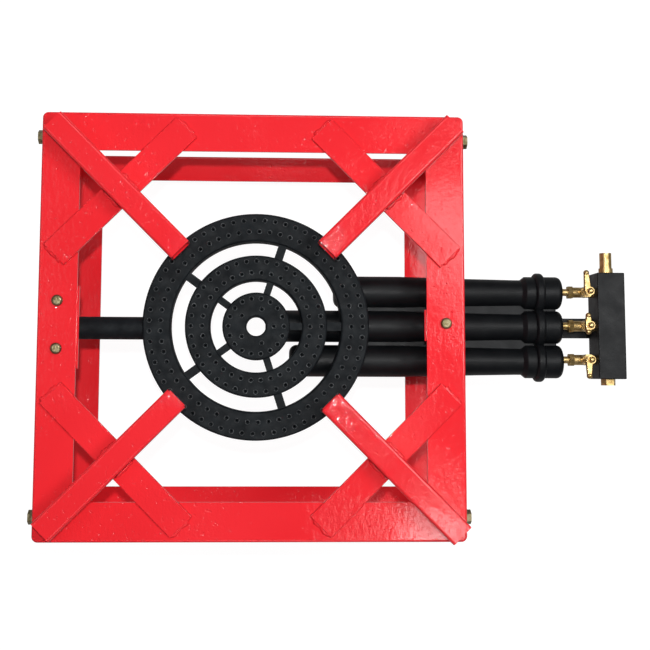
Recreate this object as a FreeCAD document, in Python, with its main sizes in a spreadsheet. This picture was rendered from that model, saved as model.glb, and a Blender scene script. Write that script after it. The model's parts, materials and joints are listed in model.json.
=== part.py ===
import FreeCAD, Part
import Sketcher
import math
import os

from FreeCAD import Placement, Rotation, Vector

# A propane burner stand: a welded square frame of angle iron with pot supports, four bolted legs
# and a lower brace frame, and a cast-iron three-ring burner hung inside it with its mixer tubes,
# valves and manifold running out past the right-hand rail.
#
# Frame: millimetres, +Z up, +Y to the rear, the mixer tubes run along +X. Everything is drawn
# about the middle of the four legs, and origin_shift then moves it along X, which puts the origin
# on the floor below the middle of the whole object.

doc = FreeCAD.newDocument("burner_stand")
sheet = doc.addObject("Spreadsheet::Sheet", "sheet")

SIZES = {
    "origin_shift": 88.75,
    # welded top frame
    "frame_side": 440,
    "frame_top": 280,
    "frame_corner": 6,
    "rail_flange": 40,
    "rail_wall": 3,
    "heel": 2.5,
    # legs and lower brace frame
    "leg_flange": 30,
    "leg_wall": 3,
    "leg_length": 273,
    "brace_side": 428,
    "brace_top": 75,
    "brace_flange": 30,
    "brace_wall": 3,
    # leg bolts
    "bolt_inset": 197,
    "frame_bolt_height": 260,
    "brace_bolt_height": 60,
    "bolt_dia": 8,
    "bolt_across": 13,
    "bolt_head": 5.3,
    "bolt_length": 16,
    "bolt_hole": 8.6,
    "washer_dia": 16,
    "washer_thick": 1.6,
    "nut_thick": 6.5,
    # gussets and pot supports, both measured along the diagonals of the frame
    "gusset_length": 190,
    "gusset_width": 30,
    "gusset_thick": 3,
    "gusset_reach": 194.5,
    "gusset_edge": 0.9,
    "support_length": 186,
    "support_side": 25,
    "support_wall": 2,
    "support_edge": 3,
    "support_rear_right": 106.5,
    "support_rear_left": 104.5,
    "support_front_left": 106.5,
    "support_front_right": 111.5,
    # hangers that carry the burner, and their screws
    "hanger_wall": 3,
    "hanger_leg": 39,
    "hanger_lip": 31,
    "hanger_height": 27,
    "hanger_face": 178,
    "left_hanger_width": 84,
    "left_hanger_y": -4,
    "right_hanger_width": 32,
    "right_hanger_y": 0,
    "screw_dia": 6,
    "screw_hole": 6.4,
    "screw_head_dia": 11.5,
    "screw_head": 4,
    "screw_across": 10,
    "screw_nut": 5,
    "screw_length": 14,
    "screw_slot": 1.3,
    "screw_slot_depth": 1.8,
    "screw_reach": 200,
    "screw_spacing": 49,
    "left_screws_y": -1.2,
    "right_screw_y": 2,
    "burner_bolt_reach": 197,
    "burner_bolt_length": 20,
    # burner head casting
    "burner_x": 3.5,
    "burner_y": -0.7,
    "burner_top": 252,
    "burner_depth": 22.5,
    "casting_wall": 4,
    "casting_edge": 2.2,
    "outer_ring_out": 119.5,
    "outer_ring_in": 90,
    "middle_ring_out": 75,
    "middle_ring_in": 48.5,
    "disc_out": 35.7,
    "disc_in": 10.2,
    "outer_rib": 9,
    "inner_rib": 7.5,
    "rib_drop": 2,
    "rib_thick": 8,
    "port_radius": 0.9,
    "port_sink_radius": 2.2,
    "port_sink_depth": 0.7,
    "outer_row_out": 112.3,
    "outer_row_in": 100.4,
    "middle_row_out": 68.9,
    "middle_row_in": 56.8,
    "disc_row_out": 29.4,
    "disc_row_in": 18.7,
    "arm_y": -3,
    "arm_radius": 12,
    "lug_start": 187,
    "lug_thick": 10,
    "arm_start": 114,
    "arm_end": 209,
    # mixer tube casting
    "tube_axis": 212,
    "tube_pitch": 37.5,
    "bank_y": 1.3,
    "tube_lead": 13,
    "tube_end_round": 8,
    "tube_radius": 17.2,
    "taper_start": 160,
    "waist_start": 236,
    "waist_radius": 15.3,
    "neck_start": 286,
    "neck_radius": 14.4,
    "tube_bore": 10,
    "flare_start": 293,
    "bell_start": 297.5,
    "bell_end": 337.5,
    "bell_radius": 18,
    "bell_bore": 12.2,
    "bell_edge": 5.5,
    "collar_start": 307.5,
    "collar_length": 10,
    "collar_radius": 22,
    "collar_edge": 3.5,
    "web_start": 100,
    "web_end": 332,
    "web_thick": 6,
    "riser_radius": 11,
    "riser_bore": 6,
    "disc_riser": 26.5,
    "middle_riser": 52.5,
    "outer_riser": 100.5,
    "boss_radius": 8,
    "boss_tap_depth": 18,
    # manifold, inlet, plug and strap
    "manifold_face": 374.4,
    "manifold_width": 30,
    "manifold_height": 37,
    "manifold_length": 115.5,
    "manifold_bore": 6,
    "manifold_centre": 3,
    "port_thread_length": 8,
    "inlet_radius": 6.5,
    "inlet_length": 23,
    "inlet_collar_radius": 7.7,
    "inlet_collar_length": 6,
    "inlet_bore": 3.5,
    "plug_across": 14,
    "plug_head": 6.9,
    "strap_width": 22,
    "strap_thick": 4,
    "strap_start": 320,
    "strap_end": 400,
    "strap_pad_start": 321,
    "strap_pad_length": 17,
    "strap_pad_width": 16,
    "strap_screw_dia": 5,
    "strap_screw_head_dia": 9,
    "strap_screw_head": 3,
    "strap_screw_length": 7.5,
    "strap_screw_front": 329.5,
    "strap_screw_back": 389.4,
    # valves
    "stem_axis": 364,
    "valve_pitch": 37,
    "valve_start": 346,
    "valve_radius": 5.7,
    "valve_across": 13,
    "valve_hex": 5,
    "valve_thread": 4,
    "valve_bore": 1.6,
    "turret_radius": 6,
    "turret_height": 12,
    "socket_radius": 4,
    "socket_depth": 5.5,
    "socket_height": 5.5,
    "fit": 0.05,
    "gland_across": 11,
    "gland_height": 4,
    "stem_radius": 2.5,
    "stem_flat": 22,
    "lever_thick": 4,
    "lever_width": 5,
    "lever_edge": 1.2,
    "lever_root": 8,
    "lever_offset": 2,
    "lever_rear": 20,
    "lever_front": 17.5,
    "lever_hub": 4.6,
    "lever_tip": 3.1,
    "tee_rear": 10.5,
    "tee_front": 7,
    "cap_radius": 3.3,
    "cap_height": 5,
    "cap_dome": 2.8,
    "cap_shank": 1.2,
    "cap_depth": 6,
    "nozzle_start": 336,
    "nozzle_tip": 2.4,
    "nozzle_radius": 3.9,
    "nozzle_taper": 2.5,
    "nozzle_thread": 2.5,
    "nozzle_thread_length": 5,
    "nozzle_bore": 0.6,
}
for row, (alias, value) in enumerate(SIZES.items(), 1):
    sheet.set(f"A{row}", alias)
    sheet.set(f"B{row}", str(value))
    sheet.setAlias(f"B{row}", alias)
doc.recompute()

PARTS = []
CORNERS = {"rear_right": 45, "rear_left": 135, "front_left": 225, "front_right": 315}
SIDES = {"rear": 0, "left": 90, "front": 180, "right": 270}
BOLTED_SIDES = ("left", "right")
VALVES = {"rear": 1, "middle": 0, "front": -1}
AXES = {
    "z": Rotation(),
    "x": Rotation(Vector(0, 1, 0), 90),
    "y": Rotation(Vector(1, 0, 0), -90),
    "down": Rotation(Vector(1, 0, 0), 180),
}


# ---------------------------------------------------------------- helpers

def size(alias):
    """The number held in one cell of the sheet."""
    return float(sheet.get(alias))


def bind(thing, formulas):
    """Tie properties of a thing to formulas over the sheet, where words are its aliases."""
    for prop, formula in formulas.items():
        words = str(formula).replace("(", "( ").replace(")", " )").split()
        thing.setExpression(prop, " ".join("sheet." + w if w in SIZES else w for w in words))
    return thing


def place(thing, x=0, y=0, z=0, axis="z"):
    """Point a primitive's own Z along an axis and put its base at x, y, z."""
    thing.Placement = Placement(Vector(), AXES[axis])
    return bind(thing, {"Placement.Base.x": x, "Placement.Base.y": y, "Placement.Base.z": z})


def box(name, length, width, height, x=0, y=0, z=0):
    thing = doc.addObject("Part::Box", name)
    bind(thing, {"Length": length, "Width": width, "Height": height})
    return place(thing, x, y, z)


def cylinder(name, radius, height, x=0, y=0, z=0, axis="z"):
    thing = doc.addObject("Part::Cylinder", name)
    bind(thing, {"Radius": radius, "Height": height})
    return place(thing, x, y, z, axis)


def cone(name, radius, end_radius, height, x=0, y=0, z=0, axis="z"):
    thing = doc.addObject("Part::Cone", name)
    bind(thing, {"Radius1": radius, "Radius2": end_radius, "Height": height})
    return place(thing, x, y, z, axis)


def hexagon(name, across, height, x=0, y=0, z=0, axis="z"):
    thing = doc.addObject("Part::Prism", name)
    thing.Polygon = 6
    bind(thing, {"Circumradius": f"{across} / sqrt( 3 )", "Height": height})
    return place(thing, x, y, z, axis)


def cut(name, base, *tools):
    """Take the tools away from the base, one after another."""
    for count, tool in enumerate(tools):
        step = doc.addObject("Part::Cut", name if count == len(tools) - 1 else f"{name}_cut")
        step.Base = base
        step.Tool = tool
        base = step
    return base


def fuse(name, *shapes):
    thing = doc.addObject("Part::MultiFuse", name)
    thing.Shapes = list(shapes)
    thing.Refine = True
    return thing


def common(name, base, tool):
    thing = doc.addObject("Part::Common", name)
    thing.Base = base
    thing.Tool = tool
    return thing


def fillet(name, base, radius, test):
    """Round every edge of the base whose middle and bounding box pass the test."""
    doc.recompute()
    chosen = [n for n, edge in enumerate(base.Shape.Edges, 1) if test(edge)]
    thing = doc.addObject("Part::Fillet", name)
    thing.Base = base
    thing.Edges = [(n, radius, radius) for n in chosen]
    return thing


def is_circle_at(height, axis="z"):
    """A test for the circular edges that lie at one height along an axis."""
    def test(edge):
        return edge.Closed and abs(getattr(edge.CenterOfMass, axis) - height) < 0.01
    return test


def keep(thing, label, turn=0, x=0, y=0, z=0):
    """Name a finished sub-part, turn it about the stand's vertical axis and put it in its place."""
    thing.Label = label
    thing.Placement = Placement(Vector(), Rotation(Vector(0, 0, 1), turn))
    PARTS.append(thing)
    return bind(thing, {"Placement.Base.x": f"{x} - origin_shift", "Placement.Base.y": y,
                        "Placement.Base.z": z})


def size_of(formula):
    """The value of a formula over the sheet."""
    probe = doc.addObject("App::FeaturePython", "probe")
    words = str(formula).split()
    value = probe.evalExpression(" ".join("sheet." + w if w in SIZES else w for w in words))
    doc.removeObject(probe.Name)
    return float(value)


def outline(body, plane, points):
    """A closed sketch on one of a body's own planes, with every corner tied to the sheet."""
    sketch = body.newObject("Sketcher::SketchObject", f"{body.Name}_outline")
    base = [f for f in body.Origin.OriginFeatures if f.Role == plane][0]
    sketch.AttachmentSupport = (base, [""])
    sketch.MapMode = "FlatFace"
    corners = [Vector(size_of(x), size_of(y), 0) for x, y in points]
    count = len(corners)
    for n in range(count):
        sketch.addGeometry(Part.LineSegment(corners[n], corners[(n + 1) % count]), False)
    for n in range(count):
        sketch.addConstraint(Sketcher.Constraint("Coincident", n, 2, (n + 1) % count, 1))
    for n, (formulas, corner) in enumerate(zip(points, corners)):
        for kind, formula, value in zip(("DistanceX", "DistanceY"), formulas, corner):
            ends = (-1, 1, n, 1) if value >= 0 else (n, 1, -1, 1)
            tied = sketch.addConstraint(Sketcher.Constraint(kind, *ends, abs(value)))
            text = formula if value >= 0 else f"0 - ( {formula} )"
            bind(sketch, {f"Constraints[{tied}]": text})
    return sketch


def pad(name, plane, points, thickness, lift=0, symmetric=False):
    """A padded outline, one body."""
    body = doc.addObject("PartDesign::Body", name)
    sketch = outline(body, plane, points)
    bind(sketch, {"AttachmentOffset.Base.z": lift})
    feature = body.newObject("PartDesign::Pad", f"{name}_pad")
    feature.Profile = sketch
    feature.SideType = "Symmetric" if symmetric else "One side"
    bind(feature, {"Length": thickness})
    return body


def revolve(name, points, axis):
    """A turned part, one body: the outline's corners are length and radius, or the reverse."""
    body = doc.addObject("PartDesign::Body", name)
    sketch = outline(body, "XZ_Plane", points)
    feature = body.newObject("PartDesign::Revolution", f"{name}_turned")
    feature.Profile = sketch
    feature.ReferenceAxis = (sketch, [axis])
    feature.Angle = 360
    return body


def scatter(label, master, placements):
    """One node holding a separate copy of the master solid at each placement."""
    doc.recompute()
    copies = []
    for placement in placements:
        solid = master.Shape.copy()
        solid.Placement = placement.multiply(solid.Placement)
        copies.append(solid)
    thing = doc.addObject("Part::Feature", label)
    thing.Shape = Part.makeCompound(copies)
    return keep(thing, label)


# ---------------------------------------------------------------- welded frames

def frame_block(name, side, top, depth):
    """The outside of a square frame, with rounded corners and a rounded heel round its top."""
    block = box(f"{name}_box", side, side, f"{depth} + 1",
                f"0 - {side} / 2", f"0 - {side} / 2", f"{top} - {depth} - 1")
    half = size(side) / 2

    def is_corner(edge):
        middle = edge.CenterOfMass
        return abs(abs(middle.x) - half) < 0.01 and abs(abs(middle.y) - half) < 0.01

    corners = fillet(f"{name}_corners", block, size("frame_corner"), is_corner)
    level = size(top)
    return fillet(name, corners, size("heel"), lambda edge: abs(edge.BoundBox.ZMin - level) < 0.01)


def rail(label, turn, side, flange, wall, top, block, holes):
    """One mitred side of a square frame of angle iron: flat flange on top, upright flange outside."""
    blank = doc.addObject("Part::Wedge", f"{label}_blank")
    bind(blank, {
        "Xmin": f"{flange} - {side} / 2", "Xmax": f"{side} / 2 - {flange}",
        "X2min": f"0 - {side} / 2", "X2max": f"{side} / 2",
        "Ymin": f"{side} / 2 - {flange}", "Ymax": f"{side} / 2",
        "Zmin": f"{top} - {flange}", "Zmax": top,
        "Z2min": f"{top} - {flange}", "Z2max": top,
    })
    hollow = box(f"{label}_hollow", side, f"{flange} - {wall} + 1", f"{flange} - {wall} + 1",
                 f"0 - {side} / 2", f"{side} / 2 - {flange} - 1", f"{top} - {flange} - 1")
    angle = cut(f"{label}_angle", blank, hollow, *holes)
    return keep(common(label, angle, block), label, turn)


def bolt_holes(label, name, height, depth_from):
    """The two leg bolt holes through a rail's upright flange, on the left and right only."""
    if name not in BOLTED_SIDES:
        return []
    return [
        cylinder(f"{label}_bolt_hole", "bolt_hole / 2", 10, x, depth_from, height, "y")
        for x in ("bolt_inset", "0 - bolt_inset")
    ]


def screw_hole(label, along):
    """A hanger screw hole through a top flange, given in the frame of the rear rail."""
    return cylinder(f"{label}_screw_hole", "screw_hole / 2", 10, along, "screw_reach",
                    "frame_top - 6")


def top_rails():
    block = frame_block("frame_block", "frame_side", "frame_top", "rail_flange")
    spread = "screw_spacing / 2"
    screw_holes = {
        "left": [screw_hole("left", f"left_screws_y + {spread}"),
                 screw_hole("left", f"left_screws_y - {spread}")],
        "right": [screw_hole("right", "0 - right_screw_y")],
    }
    for name, turn in SIDES.items():
        label = f"top_rail_{name}"
        holes = bolt_holes(label, name, "frame_bolt_height", "frame_side / 2 - 6")
        rail(label, turn, "frame_side", "rail_flange", "rail_wall", "frame_top", block,
             holes + screw_holes.get(name, []))


def lower_rails():
    block = frame_block("brace_block", "brace_side", "brace_top", "brace_flange")
    for name, turn in SIDES.items():
        label = f"lower_rail_{name}"
        rail(label, turn, "brace_side", "brace_flange", "brace_wall", "brace_top", block,
             bolt_holes(label, name, "brace_bolt_height", "brace_side / 2 - 6"))


def legs():
    """Angle-iron legs, heel outwards, between the top frame and the brace frame."""
    corner = size("brace_side") / 2 + size("leg_wall")
    for name, turn in CORNERS.items():
        label = f"leg_{name}"
        outside = "brace_side / 2 + leg_wall"
        block = box(f"{label}_block", "leg_flange", "leg_flange", "leg_length",
                    f"{outside} - leg_flange", f"{outside} - leg_flange")

        def is_heel(edge):
            middle = edge.CenterOfMass
            return abs(middle.x - corner) < 0.01 and abs(middle.y - corner) < 0.01

        heel = fillet(f"{label}_heel", block, size("heel"), is_heel)
        hollow = box(f"{label}_hollow", "leg_flange", "leg_flange", "leg_length + 2",
                     f"{outside} - leg_flange - leg_wall", f"{outside} - leg_flange - leg_wall", -1)
        drill = ("brace_side / 2 - 3", "bolt_inset")
        if name in ("rear_right", "front_left"):
            axis = "x"
        else:
            axis = "y"
            drill = drill[::-1]
        holes = [cylinder(f"{label}_hole", "bolt_hole / 2", 10, *drill, height, axis)
                 for height in ("frame_bolt_height", "brace_bolt_height")]
        keep(cut(label, heel, hollow, *holes), label, turn - 45)


def leg_fasteners():
    """Hex bolts from outside with a washer under each head, and nuts inside."""
    head = hexagon("bolt_head_hex", "bolt_across", "bolt_head", z="washer_thick")
    shank = cylinder("bolt_shank", "bolt_dia / 2", "bolt_length + washer_thick", z="0 - bolt_length")
    bolt = fuse("bolt_master", head, shank)
    washer = cut("washer_master", cylinder("washer_disc", "washer_dia / 2", "washer_thick"),
                 cylinder("washer_eye", "bolt_dia / 2", 4, z=-1))
    nut = cut("nut_master", hexagon("nut_hex", "bolt_across", "nut_thick", z="0 - nut_thick"),
              cylinder("nut_eye", "bolt_dia / 2", 12, z=-10))
    inset = size("bolt_inset")

    def spots(reach, height):
        """The left and right faces of the corners, with the fastener's own Z pointing outwards."""
        outward = []
        for side in BOLTED_SIDES:
            turn = Rotation(Vector(0, 0, 1), SIDES[side])
            for x in (-inset, inset):
                place_at = turn.multVec(Vector(x, reach, height))
                outward.append(Placement(place_at, turn.multiply(AXES["y"])))
        return outward

    frame_face = size("frame_side") / 2
    leg_face = size("brace_side") / 2 + size("leg_wall")
    frame_height = size("frame_bolt_height")
    brace_height = size("brace_bolt_height")
    scatter("frame_bolts", bolt, spots(frame_face, frame_height))
    scatter("frame_washers", washer, spots(frame_face, frame_height))
    scatter("frame_nuts", nut, spots(leg_face - size("leg_wall"), frame_height))
    scatter("brace_bolts", bolt, spots(leg_face, brace_height))
    scatter("brace_washers", washer, spots(leg_face, brace_height))
    scatter("brace_nuts", nut, spots(size("brace_side") / 2 - size("brace_wall"), brace_height))


def gussets_and_supports():
    """Flat corner gussets on the flanges, and square-tube pot supports along the diagonals."""
    reach_in = "gusset_reach - gusset_width / 2"
    reach_out = "gusset_reach + gusset_width / 2"
    half = "gusset_length / 2"
    plate = [(reach_in, f"0 - {half}"), (reach_out, f"0 - {half}"),
             (reach_out, half), (reach_in, half)]
    base = "frame_top + gusset_thick"
    for name, turn in CORNERS.items():
        label = f"corner_gusset_{name}"
        flat = pad(f"{label}_plate", "XY_Plane", plate, "gusset_thick", "frame_top")
        level = size_of(base)
        keep(fillet(label, flat, size("gusset_edge"),
                    lambda edge: abs(edge.BoundBox.ZMin - level) < 0.01), label, turn)
        label = f"pot_support_{name}"
        start = f"support_{name}"
        tube = box(f"{label}_outside", "support_length", "support_side", "support_side",
                   start, "0 - support_side / 2", base)
        side = size("support_side")
        rounded = fillet(f"{label}_rounded", tube, size("support_edge"),
                         lambda edge: edge.BoundBox.XLength > side)
        hollow = box(f"{label}_hollow", "support_length + 2",
                     "support_side - 2 * support_wall", "support_side - 2 * support_wall",
                     f"{start} - 1", "support_wall - support_side / 2",
                     f"{base} + support_wall")
        keep(cut(label, rounded, hollow), label, turn)


# ---------------------------------------------------------------- hangers

def hangers():
    """Channel-shaped strips that carry the burner from the left and right rails."""
    top = "frame_top - rail_wall"
    low = f"{top} - hanger_height"
    end = "hanger_face + hanger_leg"
    web = f"{end} - hanger_wall"
    lip = f"{end} - hanger_lip"
    channel = [(lip, low), (end, low), (end, top), ("hanger_face", top),
               ("hanger_face", f"{top} - hanger_wall"), (web, f"{top} - hanger_wall"),
               (web, f"{low} + hanger_wall"), (lip, f"{low} + hanger_wall")]
    left_screws = [f"left_hanger_y - left_screws_y {sign} screw_spacing / 2" for sign in "+-"]
    for name, turn, screws, bolt in (
            ("left", 180, left_screws, "left_hanger_y - arm_y"),
            ("right", 0, ["right_screw_y - right_hanger_y"], "bank_y - right_hanger_y")):
        label = f"hanger_{name}"
        strip = pad(f"{label}_strip", "XZ_Plane", channel, f"{name}_hanger_width", symmetric=True)
        back = size_of(end)
        bent = fillet(f"{label}_bent", strip, size("hanger_wall") * 0.8,
                      lambda edge: edge.BoundBox.YLength > 20 and
                      abs(edge.CenterOfMass.x - back) < 0.01)
        holes = [cylinder(f"{label}_screw_hole", "screw_hole / 2", 10, "screw_reach", y, f"{top} - 6")
                 for y in screws]
        holes.append(cylinder(f"{label}_bolt_hole", "screw_hole / 2", 10,
                              "burner_bolt_reach", bolt, f"{low} - 4"))
        keep(cut(label, bent, *holes), label, turn, y=f"{name}_hanger_y")


def pan_screw(name, dia, head_dia, head, length, slot):
    """A pan-head screw with a cross recess, its seat at the origin and its shank pointing down."""
    cap = cylinder(f"{name}_cap", f"{head_dia} / 2", head)
    top = size(head)
    domed = fillet(f"{name}_dome", cap, top * 0.6, is_circle_at(top))
    shank = cylinder(f"{name}_shank", f"{dia} / 2", length, z=f"0 - {length}")
    slots = [
        box(f"{name}_slot", f"{head_dia} * 0.5", slot, 10, f"0 - {head_dia} * 0.25",
            f"0 - {slot} / 2", f"{head} - screw_slot_depth"),
        box(f"{name}_slot", slot, f"{head_dia} * 0.5", 10, f"0 - {slot} / 2",
            f"0 - {head_dia} * 0.25", f"{head} - screw_slot_depth"),
    ]
    return cut(name, fuse(f"{name}_body", domed, shank), *slots)


def hanger_fasteners():
    """Pan-head screws down through the rails, and the hex bolts that hold the burner."""
    screw = pan_screw("screw_master", "screw_dia", "screw_head_dia", "screw_head",
                      "screw_length", "screw_slot")
    nut = cut("screw_nut_master", hexagon("screw_nut_hex", "screw_across", "screw_nut",
                                          z="0 - screw_nut"),
              cylinder("screw_nut_eye", "screw_dia / 2", 12, z=-10))
    bolt = fuse("burner_bolt_master",
                hexagon("burner_bolt_head", "screw_across", "screw_head"),
                cylinder("burner_bolt_shank", "screw_dia / 2", "burner_bolt_length",
                         z="0 - burner_bolt_length"))
    reach = size("screw_reach")
    half = size("screw_spacing") / 2
    left_y = size("left_screws_y")
    top = size("frame_top")
    under = top - size("rail_wall") - size("hanger_wall")
    spots = ((-reach, left_y + half), (-reach, left_y - half), (reach, size("right_screw_y")))
    scatter("hanger_screws", screw, [Placement(Vector(x, y, top), Rotation()) for x, y in spots])
    scatter("hanger_nuts", nut, [Placement(Vector(x, y, under), Rotation()) for x, y in spots])
    seat = under + 2 * size("hanger_wall") - size("hanger_height")
    hold = size("burner_bolt_reach")
    scatter("burner_bolts", bolt, [Placement(Vector(-hold, size("arm_y"), seat), Rotation()),
                                   Placement(Vector(hold, size("bank_y"), seat), Rotation())])
    lug_under = seat - size("hanger_wall") - size("lug_thick")
    scatter("burner_nut", nut, [Placement(Vector(-hold, size("arm_y"), lug_under), Rotation())])


# ---------------------------------------------------------------- castings

RISERS = (
    ("disc_riser", "bank_y"),
    ("middle_riser", "bank_y - tube_pitch"),
    ("outer_riser", "bank_y + tube_pitch"),
)
STRAP_TOP = "tube_axis - manifold_height / 2"
PORT_ROWS = {
    "outer_row_out": 63, "outer_row_in": 57,
    "middle_row_out": 40, "middle_row_in": 34,
    "disc_row_out": 18, "disc_row_in": 5,
}
RIB_ANGLES = (0, 72, 144, 216, 288)
RINGS = {
    "outer": ("outer_ring_out", "outer_ring_in"),
    "middle": ("middle_ring_out", "middle_ring_in"),
    "disc": ("disc_out", "disc_in"),
}


def port_tools():
    """Every flame port as a drilled hole with a countersink, in one compound."""
    top = size("burner_top")
    wall = size("casting_wall")
    sink = size("port_sink_depth")
    drill = Part.makeCylinder(size("port_radius"), wall + 2, Vector(0, 0, top - wall - 1))
    flare = Part.makeCone(size("port_radius"), size("port_sink_radius"), sink, Vector(0, 0, top - sink))
    single = drill.fuse(flare)
    ports = []
    for row, count in PORT_ROWS.items():
        for step in range(count):
            angle = 360 * step / count
            port = single.copy()
            spin = Rotation(Vector(0, 0, 1), angle)
            port.Placement = Placement(spin.multVec(Vector(size(row), 0, 0)), spin)
            ports.append(port)
    thing = doc.addObject("Part::Feature", "ports")
    thing.Shape = Part.makeCompound(ports)
    return place(thing, "burner_x", "burner_y")


def burner_head():
    """Three hollow rings joined by ribs, with the carrying arm to the left and gas feeds below."""
    floor = "burner_top - burner_depth"
    solids = []
    tools = []
    for name, (outside, inside) in RINGS.items():
        ring = cut(f"ring_{name}",
                   cylinder(f"ring_{name}_out", outside, "burner_depth", "burner_x", "burner_y", floor),
                   cylinder(f"ring_{name}_in", inside, 100, "burner_x", "burner_y", f"{floor} - 10"))
        solids.append(fillet(f"ring_{name}_soft", ring, size("casting_edge"),
                             is_circle_at(size("burner_top"), "z")))
        tools.append(cut(f"channel_{name}",
                         cylinder(f"channel_{name}_out", f"{outside} - casting_wall",
                                  "burner_depth - 2 * casting_wall", "burner_x", "burner_y",
                                  f"{floor} + casting_wall"),
                         cylinder(f"channel_{name}_in", f"{inside} + casting_wall", 100,
                                  "burner_x", "burner_y", f"{floor} - 10")))
    rib_floor = "burner_top - rib_drop - rib_thick"
    for angle in RIB_ANGLES:
        for width, start, end in (("outer_rib", "middle_ring_out", "outer_ring_in"),
                                  ("inner_rib", "disc_out", "middle_ring_in")):
            rib = box("rib", f"{end} - {start} + 2 * casting_edge + 2", width, "rib_thick")
            turn = Rotation(Vector(0, 0, 1), angle)
            rib.Placement = Placement(Vector(), turn)
            cosine, sine = math.cos(math.radians(angle)), math.sin(math.radians(angle))
            bind(rib, {
                "Placement.Base.x": f"burner_x + {cosine} * ( {start} - casting_edge - 1 )"
                                    f" + {sine} * {width} / 2",
                "Placement.Base.y": f"burner_y + {sine} * ( {start} - casting_edge - 1 )"
                                    f" - {cosine} * {width} / 2",
                "Placement.Base.z": rib_floor,
            })
            solids.append(rib)
    arm_top = "frame_top - rail_wall - hanger_height"
    solids.append(cylinder("arm", "arm_radius", "lug_start - arm_start", "0 - lug_start", "arm_y",
                           f"{arm_top} - arm_radius", "x"))
    solids.append(box("lug", "arm_end - lug_start", "2 * arm_radius", "lug_thick",
                      "0 - arm_end", "arm_y - arm_radius", f"{arm_top} - lug_thick"))
    tools.append(cylinder("arm_hole", "screw_hole / 2", 20, "0 - burner_bolt_reach", "arm_y",
                          f"{arm_top} - 14"))
    for x, y in RISERS:
        tools.append(cylinder("feed", "riser_bore", "casting_wall + 2", x, y, f"{floor} - 1"))
    body = fuse("head_body", *solids)
    body.Refine = False
    keep(cut("burner_head", body, *tools, port_tools()), "burner_head")


def mixer_tubes():
    """Three mixer tubes with bell mouths, joined by webs and shared collars into one casting."""
    outside = []
    inside = []
    for x, y in RISERS:
        start = f"{x} - tube_lead"
        shell = place(revolve("tube", [
            (start, 0), (start, "tube_radius"), ("taper_start", "tube_radius"),
            ("waist_start", "waist_radius"), ("neck_start", "neck_radius"),
            ("flare_start", "neck_radius"), ("bell_start", "bell_radius"),
            ("bell_end", "bell_radius"), ("bell_end", 0)], "H_Axis"), 0, y, "tube_axis")
        blind = fillet("tube_blind", shell, size("tube_end_round"), is_circle_at(size_of(start), "x"))
        outside += [
            fillet("tube_soft", blind, size("bell_edge"), is_circle_at(size("bell_end"), "x")),
            fillet("collar_soft",
                   cylinder("collar", "collar_radius", "collar_length", "collar_start", y,
                            "tube_axis", "x"),
                   size("collar_edge"), lambda edge: edge.Closed),
            cylinder("riser", "riser_radius", "burner_top - burner_depth - tube_axis", x, y,
                     "tube_axis"),
        ]
        inside += [
            place(revolve("bore", [
                (f"{start} + casting_wall", 0), (f"{start} + casting_wall", "tube_bore"),
                ("flare_start", "tube_bore"), ("bell_start", "bell_bore"),
                ("bell_end + 1", "bell_bore"), ("bell_end + 1", 0)], "H_Axis"), 0, y, "tube_axis"),
            cylinder("riser_hole", "riser_bore", 40, x, y, "tube_axis"),
        ]
    boss_top = "frame_top - rail_wall - hanger_height"
    outside += [
        box("web", "web_end - web_start", "2 * tube_pitch", "web_thick", "web_start",
            "bank_y - tube_pitch", "tube_axis - web_thick / 2"),
        cylinder("boss", "boss_radius", f"{boss_top} - tube_axis", "burner_bolt_reach", "bank_y",
                 "tube_axis"),
        box("strap_pad", "strap_pad_length", "strap_pad_width", "bell_radius / 2",
            "strap_pad_start", "bank_y - strap_pad_width / 2", STRAP_TOP),
    ]
    inside += [
        cylinder("boss_tap", "screw_dia / 2", "boss_tap_depth + 1", "burner_bolt_reach", "bank_y",
                 f"{boss_top} - boss_tap_depth"),
        cylinder("pad_tap", "strap_screw_dia / 2", "strap_screw_length - strap_thick + 1",
                 "strap_screw_front", "bank_y", f"{STRAP_TOP} - 1"),
    ]
    keep(cut("mixer_tubes", fuse("tube_body", *outside), *inside), "mixer_tubes")


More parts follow.
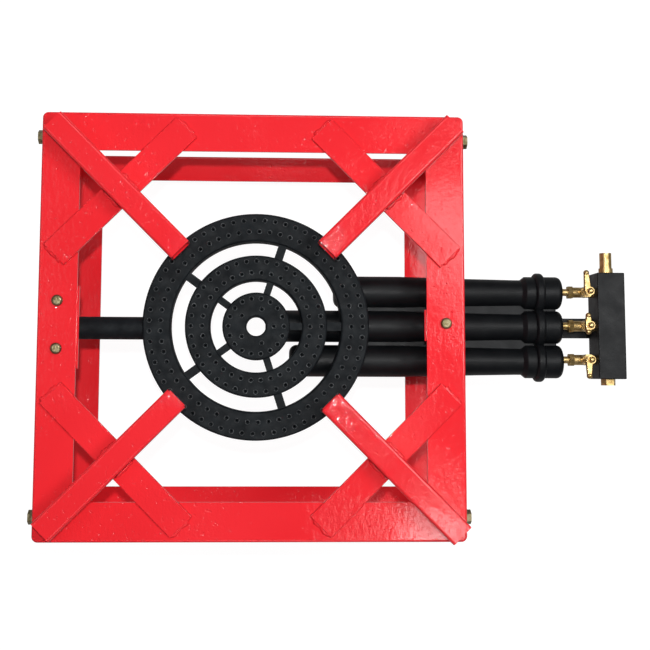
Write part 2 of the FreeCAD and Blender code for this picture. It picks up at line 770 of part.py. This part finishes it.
def manifold_group():
    """The black manifold block, its brass inlet and end plug, and the strap to the casting."""
    back = "manifold_centre - manifold_length / 2"
    end = "manifold_centre + manifold_length / 2"
    middle = "manifold_face + manifold_width / 2"
    block = box("manifold_block", "manifold_width", "manifold_length", "manifold_height",
                "manifold_face", back, STRAP_TOP)
    soft = fillet("manifold_soft", block, 1, lambda edge: True)
    holes = [cylinder("manifold_bore", "manifold_bore", "manifold_length + 2", middle,
                      f"{back} - 1", "tube_axis", "y"),
             cylinder("manifold_tap", "strap_screw_dia / 2", "strap_screw_length - strap_thick + 1",
                      "strap_screw_back", "bank_y", f"{STRAP_TOP} - 1")]
    for side in VALVES.values():
        holes.append(cylinder("valve_port", "valve_thread", "manifold_width / 2 + 1",
                              "manifold_face - 1", f"manifold_centre + {side} * valve_pitch",
                              "tube_axis", "x"))
    keep(cut("manifold", soft, *holes), "manifold")

    inlet = fuse("inlet_body",
                 cylinder("inlet_pipe", "inlet_radius", "inlet_length", middle, end, "tube_axis", "y"),
                 cylinder("inlet_collar", "inlet_collar_radius", "inlet_collar_length", middle, end,
                          "tube_axis", "y"),
                 cylinder("inlet_thread", "manifold_bore", "port_thread_length", middle,
                          f"{end} - port_thread_length", "tube_axis", "y"))
    keep(cut("gas_inlet", inlet,
             cylinder("inlet_hole", "inlet_bore", 60, middle, f"{end} - 20", "tube_axis", "y")),
         "gas_inlet")

    head = hexagon("plug_head", "plug_across", "plug_head", middle, f"{back} - plug_head",
                   "tube_axis", "y")
    shank = cylinder("plug_shank", "manifold_bore", "port_thread_length", middle, back,
                     "tube_axis", "y")
    keep(fuse("manifold_plug", head, shank), "manifold_plug")

    strap = box("strap_bar", "strap_end - strap_start", "strap_width", "strap_thick", "strap_start",
                "bank_y - strap_width / 2", f"{STRAP_TOP} - strap_thick")
    spots = ("strap_screw_front", "strap_screw_back")
    keep(cut("manifold_strap", strap,
             *[cylinder("strap_hole", "strap_screw_dia / 2 + 0.2", 10, x, "bank_y",
                        f"{STRAP_TOP} - 7") for x in spots]),
         "manifold_strap")
    screw = pan_screw("strap_screw_master", "strap_screw_dia", "strap_screw_head_dia",
                      "strap_screw_head", "strap_screw_length", "screw_slot")
    under = size("tube_axis") - size("manifold_height") / 2 - size("strap_thick")
    scatter("strap_screws", screw,
            [Placement(Vector(size(x), size("bank_y"), under), AXES["down"]) for x in spots])


# ---------------------------------------------------------------- valves

def valve(name, side):
    """One brass needle valve: a body across the gap, a gland nut, and the nozzle ahead of it."""
    y = f"manifold_centre + {side} * valve_pitch"
    turret_top = "tube_axis + turret_height"
    solids = [
        cylinder("valve_barrel", "valve_radius", "manifold_face - valve_start", "valve_start", y,
                 "tube_axis", "x"),
        hexagon("valve_hex", "valve_across", "valve_hex", "valve_start", y, "tube_axis", "x"),
        cylinder("valve_thread", "valve_thread", "port_thread_length", "manifold_face", y,
                 "tube_axis", "x"),
        cylinder("valve_turret", "turret_radius", "turret_height", "stem_axis", y, "tube_axis"),
    ]
    holes = [
        cylinder("valve_socket", "socket_radius + fit", 40, "stem_axis", y,
                 "tube_axis - socket_depth - fit"),
        cylinder("valve_bore", "valve_bore", 60, "valve_start - 1", y, "tube_axis", "x"),
        cylinder("valve_mouth", "nozzle_thread", "nozzle_thread_length + 1", "valve_start - 1", y,
                 "tube_axis", "x"),
    ]
    label = f"valve_{name}"
    keep(cut(label, fuse(f"{label}_body", *solids), *holes), label)

    gland = fuse("gland_body",
                 hexagon("gland_hex", "gland_across", "gland_height", "stem_axis", y, turret_top),
                 cylinder("gland_skirt", "socket_radius + fit",
                          "turret_height - socket_height - fit", "stem_axis", y,
                          "tube_axis + socket_height + fit"))
    label = f"gland_{name}"
    keep(cut(label, gland,
             cylinder("gland_eye", "stem_radius + fit", 60, "stem_axis", y, "tube_axis")), label)

    tip = "nozzle_start"
    waist = "nozzle_start + nozzle_taper"
    label = f"nozzle_{name}"
    profile = [(tip, "nozzle_bore"), (tip, "nozzle_tip"), (waist, "nozzle_radius"),
               ("valve_start", "nozzle_radius"), ("valve_start", "nozzle_thread"),
               ("valve_start + nozzle_thread_length", "nozzle_thread"),
               ("valve_start + nozzle_thread_length", "nozzle_bore")]
    keep(revolve(label, profile, "H_Axis"), label, y=y, z="tube_axis")


def lever(name, side, reaches, tilt):
    """The turning parts of one valve: plug and stem, cranked lever, and the knob that holds it."""
    y = f"manifold_centre + {side} * valve_pitch"
    stem_height = "stem_flat + lever_thick"
    stem = fuse("stem_body",
                cylinder("stem_plug", "socket_radius", "socket_depth + socket_height",
                         z="0 - socket_depth"),
                cylinder("stem_rod", "stem_radius", stem_height))
    label = f"stem_{name}"
    keep(cut(label, stem,
             cylinder("stem_port", "valve_bore", 30, -15, axis="x"),
             cylinder("stem_tap", "cap_shank", "cap_depth + 1", z=f"{stem_height} - cap_depth")),
         label, x="stem_axis", y=y, z="tube_axis")

    solids = [cylinder("lever_hub", "lever_hub", "lever_thick", z="stem_flat")]
    middle = "0 - lever_offset"
    for reach in reaches:
        bar = pad("lever_bar", "XY_Plane", [
            (f"{middle} - lever_root / 2", 0), (f"{middle} + lever_root / 2", 0),
            (f"{middle} + lever_width / 2", reach), (f"{middle} - lever_width / 2", reach)],
            "lever_thick", "stem_flat")
        level = size_of("stem_flat + lever_thick")
        span = abs(size_of(reach))
        solids.append(fillet("lever_bar_soft", bar, size("lever_edge"), lambda edge:
                             abs(edge.BoundBox.YLength - span) < 0.01
                             and abs(edge.BoundBox.ZMin - level) < 0.01))
        tip = doc.addObject("Part::Sphere", "lever_tip")
        solids.append(place(bind(tip, {"Radius": "lever_tip"}), middle, reach,
                            "stem_flat + lever_thick / 2", "y"))
    label = f"lever_{name}"
    keep(cut(label, fuse(f"{label}_body", *solids),
             cylinder("lever_eye", "stem_radius", 60)),
         label, tilt, "stem_axis", y, "tube_axis")

    knob = fuse("knob_body", cylinder("knob", "cap_radius", "cap_height"),
                cylinder("knob_shank", "cap_shank", "cap_depth", z="0 - cap_depth"))
    label = f"lever_cap_{name}"
    keep(fillet(label, knob, size("cap_dome"), is_circle_at(size("cap_height"))), label,
         x="stem_axis", y=y, z=f"tube_axis + {stem_height}")


top_rails()
lower_rails()
legs()
leg_fasteners()
gussets_and_supports()
hangers()
hanger_fasteners()
burner_head()
mixer_tubes()
manifold_group()
for valve_name, valve_side in VALVES.items():
    valve(valve_name, valve_side)
lever("rear", 1, ["lever_rear"], 4)
lever("middle", 0, ["tee_rear", "0 - tee_front"], 0)
lever("front", -1, ["0 - lever_front"], 0)
doc.recompute()

broken = [thing.Name for thing in doc.Objects if {"Invalid", "Error"} & set(thing.State)]
if broken:
    raise RuntimeError(f"objects that failed: {broken}")
os.makedirs("parts", exist_ok=True)
for thing in PARTS:
    if thing.Shape.isNull() or not thing.Shape.isValid():
        raise RuntimeError(f"{thing.Label} has no valid shape")
    thing.Shape.exportStep(f"parts/{thing.Label}.step")
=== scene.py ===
import json
import math
import random

import bmesh
import bpy
from mathutils import Matrix, Vector


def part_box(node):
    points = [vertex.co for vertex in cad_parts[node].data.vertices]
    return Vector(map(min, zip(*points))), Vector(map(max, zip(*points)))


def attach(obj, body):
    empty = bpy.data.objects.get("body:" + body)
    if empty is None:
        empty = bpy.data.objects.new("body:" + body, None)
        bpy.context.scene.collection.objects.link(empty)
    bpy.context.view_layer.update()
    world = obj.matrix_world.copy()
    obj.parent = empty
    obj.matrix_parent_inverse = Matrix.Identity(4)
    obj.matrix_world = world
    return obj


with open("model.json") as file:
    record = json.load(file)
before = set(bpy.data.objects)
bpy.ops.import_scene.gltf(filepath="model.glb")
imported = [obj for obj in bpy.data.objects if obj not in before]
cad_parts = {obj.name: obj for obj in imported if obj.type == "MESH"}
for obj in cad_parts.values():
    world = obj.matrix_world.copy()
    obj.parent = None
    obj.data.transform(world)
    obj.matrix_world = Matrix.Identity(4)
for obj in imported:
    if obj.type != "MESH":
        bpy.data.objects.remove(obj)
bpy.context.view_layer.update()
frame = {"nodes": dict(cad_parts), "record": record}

# ---------------------------------------------------------------- material helpers

# samples for the ambient occlusion that paints shade into corners
PAINTED_SHADE_SAMPLES = 8


class Nodes:
    """A material under construction: makes nodes and joins them up."""

    def __init__(self, name):
        self.material = bpy.data.materials.new(name)
        self.material.use_nodes = True
        self.tree = self.material.node_tree
        self.shader = self.tree.nodes["Principled BSDF"]
        self.place = self.make("ShaderNodeTexCoord").outputs["Object"]

    def make(self, kind, **inputs):
        """Add a node and fill its sockets."""
        node = self.tree.nodes.new(kind)
        for name, value in inputs.items():
            self.set(node, name, value)
        return node

    def fill(self, socket, value):
        """Put a number or colour on a socket, or join an output to it."""
        if isinstance(value, bpy.types.NodeSocket):
            self.tree.links.new(value, socket)
        elif socket.type == "RGBA":
            socket.default_value = (*value, 1.0)
        else:
            socket.default_value = value

    def set(self, node, name, value):
        """Fill the socket of this name, with _ for each space in it."""
        self.fill(node.inputs[name.replace("_", " ")], value)

    def surface(self, **values):
        """Fill sockets of the material's own shader."""
        for name, value in values.items():
            self.set(self.shader, name, value)

    def noise(self, scale, detail=3, roughness=0.5, at=None):
        """Smooth noise over the object, or over other coordinates."""
        node = self.make("ShaderNodeTexNoise", Scale=scale, Detail=detail, Roughness=roughness)
        self.set(node, "Vector", self.place if at is None else at)
        return node.outputs["Fac"]

    def stretched(self, x, y, z):
        """The object's own coordinates with each axis multiplied."""
        node = self.make("ShaderNodeVectorMath", Vector=self.place)
        node.operation = "MULTIPLY"
        node.inputs[1].default_value = (x, y, z)
        return node.outputs["Vector"]

    def ramp(self, value, low, high, start=0.0, end=1.0):
        """Map value from low..high to start..end, clamped."""
        node = self.make("ShaderNodeMapRange", Value=value, From_Min=low, From_Max=high,
                         To_Min=start, To_Max=end)
        return node.outputs["Result"]

    def mix(self, factor, first, second):
        """Mix two colours by a factor."""
        node = self.make("ShaderNodeMix")
        node.data_type = "RGBA"
        self.set(node, "Factor", factor)
        colours = [socket for socket in node.inputs if socket.type == "RGBA"]
        self.fill(colours[0], first)
        self.fill(colours[1], second)
        return next(socket for socket in node.outputs if socket.type == "RGBA")

    def painted_shade_openness(self, reach):
        """How open a point is to its surroundings: 1 in the open, 0 deep in a corner; used to
        paint shade into the colour.
        """
        node = self.make("ShaderNodeAmbientOcclusion", Distance=reach)
        node.samples = PAINTED_SHADE_SAMPLES
        return node.outputs["AO"]

    def product(self, first, second):
        """Two values multiplied."""
        node = self.make("ShaderNodeMath")
        node.operation = "MULTIPLY"
        self.fill(node.inputs[0], first)
        self.fill(node.inputs[1], second)
        return node.outputs["Value"]

    def bump(self, height, strength, distance, normal=None):
        """A normal that rises with height by up to the distance, on top of another one."""
        node = self.make("ShaderNodeBump", Height=height, Strength=strength, Distance=distance)
        if normal is not None:
            self.set(node, "Normal", normal)
        return node.outputs["Normal"]


def red_paint():
    """Glossy enamel with orange peel, runs, pits and fine scratches, with shade painted dark into
    the corners and where parts meet.
    """
    m = Nodes("red_enamel")
    tone = m.ramp(m.noise(9, 2), 0.35, 0.65)
    base = m.mix(tone, (0.91, 0.021, 0.030), (0.96, 0.026, 0.036))
    scratch = m.noise(1.0, 1, at=m.stretched(700, 28, 90))
    lines = m.ramp(scratch, 0.76, 0.82)
    patches = m.ramp(m.noise(26, 2), 0.58, 0.72, 0.0, 0.22)
    scratched = m.mix(m.product(lines, patches), base, (0.92, 0.13, 0.14))
    # painted shade: the colour turns dark red in corners and where parts meet, standing in for the
    # shade that falls there
    colour = m.mix(m.ramp(m.painted_shade_openness(0.0045), 0.25, 0.75), (0.34, 0.002, 0.006), scratched)
    rough_patch = m.ramp(m.noise(11, 1), 0.42, 0.60, 0.10, 1.0)
    pits = m.bump(m.ramp(m.noise(210, 1), 0.25, 0.33), m.ramp(rough_patch, 0, 1, 0.1, 0.8), 0.0004)
    peel = m.bump(m.noise(420, 3, 0.6), m.ramp(rough_patch, 0, 1, 0.16, 0.50), 0.0005, pits)
    runs = m.bump(m.noise(1.0, 2, at=m.stretched(210, 90, 90)),
                  m.ramp(rough_patch, 0, 1, 0.10, 0.34), 0.0012, peel)
    m.surface(Base_Color=colour, Normal=runs,
              Roughness=m.ramp(m.noise(30, 3), 0.35, 0.7, 0.055, 0.10),
              Coat_Weight=0.12, Coat_Roughness=0.05, Specular_IOR_Level=0.46)
    return m.material


def worn_iron():
    """Iron rubbed almost bare where a drilled edge stands up."""
    m = Nodes("worn_iron")
    tone = m.ramp(m.noise(240, 3), 0.35, 0.7)
    base = m.mix(tone, (0.010, 0.013, 0.015), (0.045, 0.052, 0.056))
    grain = m.bump(m.noise(1400, 2), 0.4, 0.0003)
    m.surface(Base_Color=base, Normal=grain, Specular_IOR_Level=0.40,
              Roughness=m.ramp(m.noise(300, 2), 0.3, 0.7, 0.32, 0.50))
    return m.material


def cast_iron():
    """Sand-cast iron under thin black paint, with a little grey where the paint is thin."""
    m = Nodes("burner_iron")
    tone = m.ramp(m.noise(70, 4), 0.35, 0.7)
    base = m.mix(tone, (0.0035, 0.0052, 0.0068), (0.0085, 0.0115, 0.0140))
    sand = m.bump(m.noise(900, 3, 0.7), 0.50, 0.0005)
    lumps = m.bump(m.noise(170, 3), 0.50, 0.0011, sand)
    m.surface(Base_Color=base, Normal=lumps, Specular_IOR_Level=0.17,
              Roughness=m.ramp(m.noise(120, 3), 0.3, 0.7, 0.50, 0.72))
    return m.material


def black_paint():
    """Satin black paint over smoother castings and bar."""
    m = Nodes("satin_black")
    tone = m.ramp(m.noise(45, 4), 0.35, 0.7)
    base = m.mix(tone, (0.0035, 0.0042, 0.0052), (0.0070, 0.0080, 0.0092))
    sand = m.bump(m.noise(700, 3, 0.6), 0.30, 0.0004)
    lumps = m.bump(m.noise(90, 3), 0.30, 0.0010, sand)
    m.surface(Base_Color=base, Normal=lumps, Specular_IOR_Level=0.19,
              Roughness=m.ramp(m.noise(60, 3), 0.3, 0.7, 0.34, 0.48))
    return m.material


def brass():
    """Turned brass with fine tool marks and darker tarnish in patches."""
    m = Nodes("turned_brass")
    tone = m.ramp(m.noise(160, 4), 0.38, 0.68)
    base = m.mix(tone, (0.74, 0.54, 0.25), (0.42, 0.285, 0.105))
    marks = m.bump(m.noise(1.0, 2, at=m.stretched(2600, 350, 350)), 0.25, 0.0002)
    dents = m.bump(m.noise(420, 2), 0.25, 0.0005, marks)
    m.surface(Base_Color=base, Normal=dents, Metallic=1.0,
              Roughness=m.ramp(m.noise(220, 3), 0.3, 0.7, 0.30, 0.48))
    return m.material


def zinc_plate(name, pale, deep):
    """Zinc plate, deeper in colour in patches."""
    m = Nodes(name)
    tone = m.ramp(m.noise(260, 3), 0.4, 0.62)
    marks = m.bump(m.noise(1300, 2), 0.25, 0.0002)
    m.surface(Base_Color=m.mix(tone, pale, deep), Normal=marks, Metallic=0.85,
              Roughness=m.ramp(m.noise(300, 2), 0.3, 0.7, 0.28, 0.42))
    return m.material


FINISHES = {
    "red_paint": red_paint(),
    "cast_iron": cast_iron(),
    "tube_black": black_paint(),
    "brass": brass(),
    "yellow_zinc": zinc_plate("yellow_zinc_plate", (0.31, 0.26, 0.15), (0.14, 0.115, 0.05)),
    "zinc": zinc_plate("clear_zinc_plate", (0.52, 0.52, 0.50), (0.32, 0.32, 0.31)),
}
for part in frame["record"]["subparts"]:
    materials = frame["nodes"][part["node"]].data.materials
    materials.clear()
    materials.append(FINISHES[part["material_slot"]])

# ---------------------------------------------------------------- welds

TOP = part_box("top_rail_front")[1][2]
GUSSET_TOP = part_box("corner_gusset_rear_right")[1][2]
# the middle of the stand, from the sides of its left and right legs
STAND_X = sum(c[0] for n in ("leg_rear_left", "leg_rear_right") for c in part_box(n)) / 4
CORNERS = {"rear_right": 45, "rear_left": 135, "front_left": 225, "front_right": 315}
# from the stand's middle to the middle of each gusset, and the gusset's own size
GUSSET_REACH = 0.1945
GUSSET_LENGTH = 0.190
GUSSET_WIDTH = 0.030
SUPPORT_SIDE = 0.025

WELD_SEED = 7
BEAD_WIDTH = 0.0052
BEAD_HEIGHT = 0.0023
BEAD_SUNK = 0.0003
BEAD_STEP = 0.0008
BEAD_LEAST_STEPS = 8
BEAD_FACETS = 10
BEAD_TAPER = 0.003
BEAD_END_SHARE = 0.02
BEAD_DRIFT = 10
RIPPLE_PITCH = 0.0021
RIPPLE_SIZE = 0.10
LUMP_SIZE = 0.16
LUMP_TURN = 9
LUMP_NOISE = 0.04
WANDER_SIZE = 0.0004
WANDER_TURN = 13

# how far each bead stops short of the gusset's edges, and stands off the support's side
END_WELD_SHORT_IN = 0.004
END_WELD_SHORT_OUT = 0.001
SIDE_WELD_SHORT = 0.003
SIDE_WELD_GAP = 0.0004


def skin(mesh, first, second):
    """Faces all round between two closed rows of points."""
    for k in range(len(first)):
        after = (k + 1) % len(first)
        mesh.faces.new((first[k], second[k], second[after], first[after]))


def bead(mesh, start, end, chance):
    """One run of weld between two points on a flat face, rippled and uneven, with closed ends."""
    along = (end - start).normalized()
    side = Vector((0, 0, 1)).cross(along)
    length = (end - start).length
    steps = max(BEAD_LEAST_STEPS, int(length / BEAD_STEP))
    drift = chance.uniform(0, BEAD_DRIFT)
    rows = []
    for n in range(steps + 1):
        share = n / steps
        from_end = min(share, 1 - share) * length / BEAD_TAPER
        swell = math.sin(math.pi * min(1, max(BEAD_END_SHARE, from_end)) / 2)
        ripple = 1 + RIPPLE_SIZE * math.sin(share * length / RIPPLE_PITCH * 2 * math.pi + drift)
        lump = (1 + LUMP_SIZE * math.sin(share * LUMP_TURN + drift)
                + chance.uniform(-LUMP_NOISE, LUMP_NOISE))
        half = BEAD_WIDTH / 2 * swell * lump
        tall = BEAD_HEIGHT * swell * ripple * lump
        wander = WANDER_SIZE * math.sin(share * WANDER_TURN + drift)
        middle = start + along * (length * share) + side * wander
        row = []
        for k in range(BEAD_FACETS + 1):
            angle = math.pi * k / BEAD_FACETS
            height = tall * math.sin(angle) - BEAD_SUNK
            row.append(mesh.verts.new(middle + side * (half * math.cos(angle))
                                      + Vector((0, 0, height))))
        rows.append(row)
    for first, second in zip(rows, rows[1:]):
        skin(mesh, first, second)
    mesh.faces.new(rows[0][::-1])
    mesh.faces.new(rows[-1])


def finish_piece(name, mesh, slot, finish=None):
    """Turn a mesh into a piece of the stand with its slot's finish, or another one."""
    bmesh.ops.recalc_face_normals(mesh, faces=mesh.faces)
    data = bpy.data.meshes.new(name)
    mesh.to_mesh(data)
    mesh.free()
    data.shade_smooth()
    data.materials.append(finish or FINISHES[slot])
    piece = bpy.data.objects.new(name, data)
    bpy.context.scene.collection.objects.link(piece)
    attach(piece, "stand")


def gusset_welds():
    """Beads across both ends of each gusset and along the support where it crosses the gusset."""
    chance = random.Random(WELD_SEED)
    inner = GUSSET_REACH - GUSSET_WIDTH / 2
    outer = GUSSET_REACH + GUSSET_WIDTH / 2
    for name, angle in CORNERS.items():
        mesh = bmesh.new()
        turn = Matrix.Rotation(math.radians(angle), 4, "Z")
        place = Matrix.Translation((STAND_X, 0, 0)) @ turn
        for sign in (-1, 1):
            end = sign * GUSSET_LENGTH / 2
            bead(mesh, place @ Vector((inner + END_WELD_SHORT_IN, end, TOP)),
                 place @ Vector((outer - END_WELD_SHORT_OUT, end, TOP)), chance)
            edge = sign * (SUPPORT_SIDE / 2 + SIDE_WELD_GAP)
            bead(mesh, place @ Vector((inner + SIDE_WELD_SHORT, edge, GUSSET_TOP)),
                 place @ Vector((outer - SIDE_WELD_SHORT, edge, GUSSET_TOP)), chance)
        finish_piece(f"welds_{name}", mesh, "red_paint")


gusset_welds()

# ---------------------------------------------------------------- flame ports

# how far the burner's middle is from the stand's
BURNER_OFF = (0.0035, -0.0007)
BURNER = Vector((STAND_X + BURNER_OFF[0], BURNER_OFF[1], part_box("burner_head")[1][2]))
# each row's radius and its number of ports
PORT_ROWS = ((0.1123, 63), (0.1004, 57), (0.0689, 40), (0.0568, 34), (0.0294, 18), (0.0187, 5))
RIM_SEED = 11
RIM_RADIUS = 0.00235
RIM_THICK = 0.00042
RIM_UNEVEN = 0.35
RIM_FLAT = 0.6
RIM_SIDES = 18
RIM_FACETS = 6


def rim_loops(centre, chance):
    """The cross-sections of one flat, slightly uneven ring, each a loop of points."""
    phase = chance.uniform(0, 2 * math.pi)
    for n in range(RIM_SIDES):
        turn = 2 * math.pi * n / RIM_SIDES
        fat = RIM_THICK * (1 + RIM_UNEVEN * math.sin(turn + phase))
        out = Vector((math.cos(turn), math.sin(turn), 0))
        loop = []
        for k in range(RIM_FACETS):
            angle = 2 * math.pi * k / RIM_FACETS
            loop.append(centre + out * (RIM_RADIUS + fat * math.cos(angle))
                        + Vector((0, 0, RIM_FLAT * fat * math.sin(angle))))
        yield loop


def port_rims():
    """The raised edge that drilling leaves round each flame port."""
    chance = random.Random(RIM_SEED)
    mesh = bmesh.new()
    for row, count in PORT_ROWS:
        for step in range(count):
            angle = 2 * math.pi * step / count
            centre = BURNER + Vector((row * math.cos(angle), row * math.sin(angle), 0))
            rows = [[mesh.verts.new(point) for point in loop]
                    for loop in rim_loops(centre, chance)]
            for first, second in zip(rows, rows[1:] + rows[:1]):
                skin(mesh, first, second)
    finish_piece("port_rims", mesh, "cast_iron", worn_iron())


port_rims()

# ---------------------------------------------------------------- floor, light and camera

# just below the feet, so that the two faces don't coincide
FLOOR_LEVEL = -0.0002
FLOOR_REACH = 6
FLOOR_GLOW = 0.25
FLOOR_GLOW_SEEN = 0.95

WORLD_STRENGTH = 0.12
LAMP_RISE = 1.6
KEY_RISE = 1.25
KEY_BACK = 0.04
KEY_SIZE = 0.03
KEY_POWER = 6.7
# each lamp's name, its place from the stand's middle, its size and its power
LAMPS = (
    ("soft_box_left", -1.0, 0.2, 0.8, 1.5),
    ("soft_box_right", 1.1, 0.3, 0.8, 10.2),
    ("soft_box_rear", 0.1, 1.1, 0.8, 3.8),
    ("soft_box_front", 0.1, -1.1, 0.8, 2.2),
    ("panel_rear", 0.48, 0.30, 0.26, 0.74),
    ("panel_front", 0.44, -0.47, 0.20, 1.05),
    ("panel_side", 0.74, 0.06, 0.30, 1.3),
)

SENSOR_WIDTH = 36
FOCAL_LENGTH = 62.83
SHIFT = (0.0345, -0.1012)
# the camera's place from the middle of the stand's top, and its tilt from straight down as
# one turn in radians about this vector
EYE = (0.0045, -0.0521, 1.1678)
TILT = Vector((0.102, -0.040, 0.006))


def pale_floor():
    """A plain floor that glows near-white to the camera, and gives the object less light."""
    corners = ((-1, -1), (1, -1), (1, 1), (-1, 1))
    mesh = bpy.data.meshes.new("floor")
    mesh.from_pydata([(x * FLOOR_REACH, y * FLOOR_REACH, FLOOR_LEVEL) for x, y in corners],
                     [], [(0, 1, 2, 3)])
    floor = bpy.data.objects.new("floor", mesh)
    bpy.context.scene.collection.objects.link(floor)
    m = Nodes("floor_white")
    seen = m.make("ShaderNodeLightPath").outputs["Is Camera Ray"]
    m.surface(Base_Color=(0.16, 0.16, 0.16), Roughness=0.9, Specular_IOR_Level=0.0,
              Emission_Color=(1, 1, 1),
              Emission_Strength=m.ramp(seen, 0, 1, FLOOR_GLOW, FLOOR_GLOW_SEEN))
    mesh.materials.append(m.material)


def area_light(name, place, size, power):
    """A round lamp that points at the middle of the stand's top."""
    light = bpy.data.lights.new(name, "AREA")
    light.shape = "DISK"
    light.size = size
    light.energy = power
    lamp = bpy.data.objects.new(name, light)
    lamp.location = place
    aim = Vector((STAND_X, 0, TOP)) - Vector(place)
    lamp.rotation_euler = aim.to_track_quat("-Z", "Y").to_euler()
    bpy.context.scene.collection.objects.link(lamp)
    return light


def even_out(light, reach):
    """Let a lamp light near and far things alike, as bright as it would be at this reach."""
    light.use_nodes = True
    tree = light.node_tree
    falloff = tree.nodes.new("ShaderNodeLightFalloff")
    falloff.inputs["Strength"].default_value = 1 / reach ** 2
    tree.links.new(falloff.outputs["Constant"], tree.nodes["Emission"].inputs["Strength"])


def lights():
    """A small lamp high over the stand, soft boxes round it, and panels high on the right."""
    world = bpy.data.worlds.new("studio")
    world.use_nodes = True
    sky = world.node_tree.nodes["Background"]
    sky.inputs["Color"].default_value = (1, 1, 1, 1)
    sky.inputs["Strength"].default_value = WORLD_STRENGTH
    bpy.context.scene.world = world
    key = area_light("key", (STAND_X, KEY_BACK, TOP + KEY_RISE), KEY_SIZE, KEY_POWER)
    even_out(key, KEY_RISE)
    for name, x, y, size, power in LAMPS:
        area_light(name, (STAND_X + x, y, TOP + LAMP_RISE), size, power)


def camera():
    """The camera, looking down on the stand from a little to the front of its middle."""
    lens = bpy.data.cameras.new("camera")
    lens.sensor_width = SENSOR_WIDTH
    lens.lens = FOCAL_LENGTH
    lens.shift_x, lens.shift_y = SHIFT
    eye = bpy.data.objects.new("camera", lens)
    turn = Matrix.Rotation(TILT.length, 4, TILT)
    x, y, rise = EYE
    eye.matrix_world = Matrix.Translation((STAND_X + x, y, TOP + rise)) @ turn
    bpy.context.scene.collection.objects.link(eye)
    bpy.context.scene.camera = eye


pale_floor()
lights()
camera()
bpy.context.scene.view_settings.view_transform = "Standard"
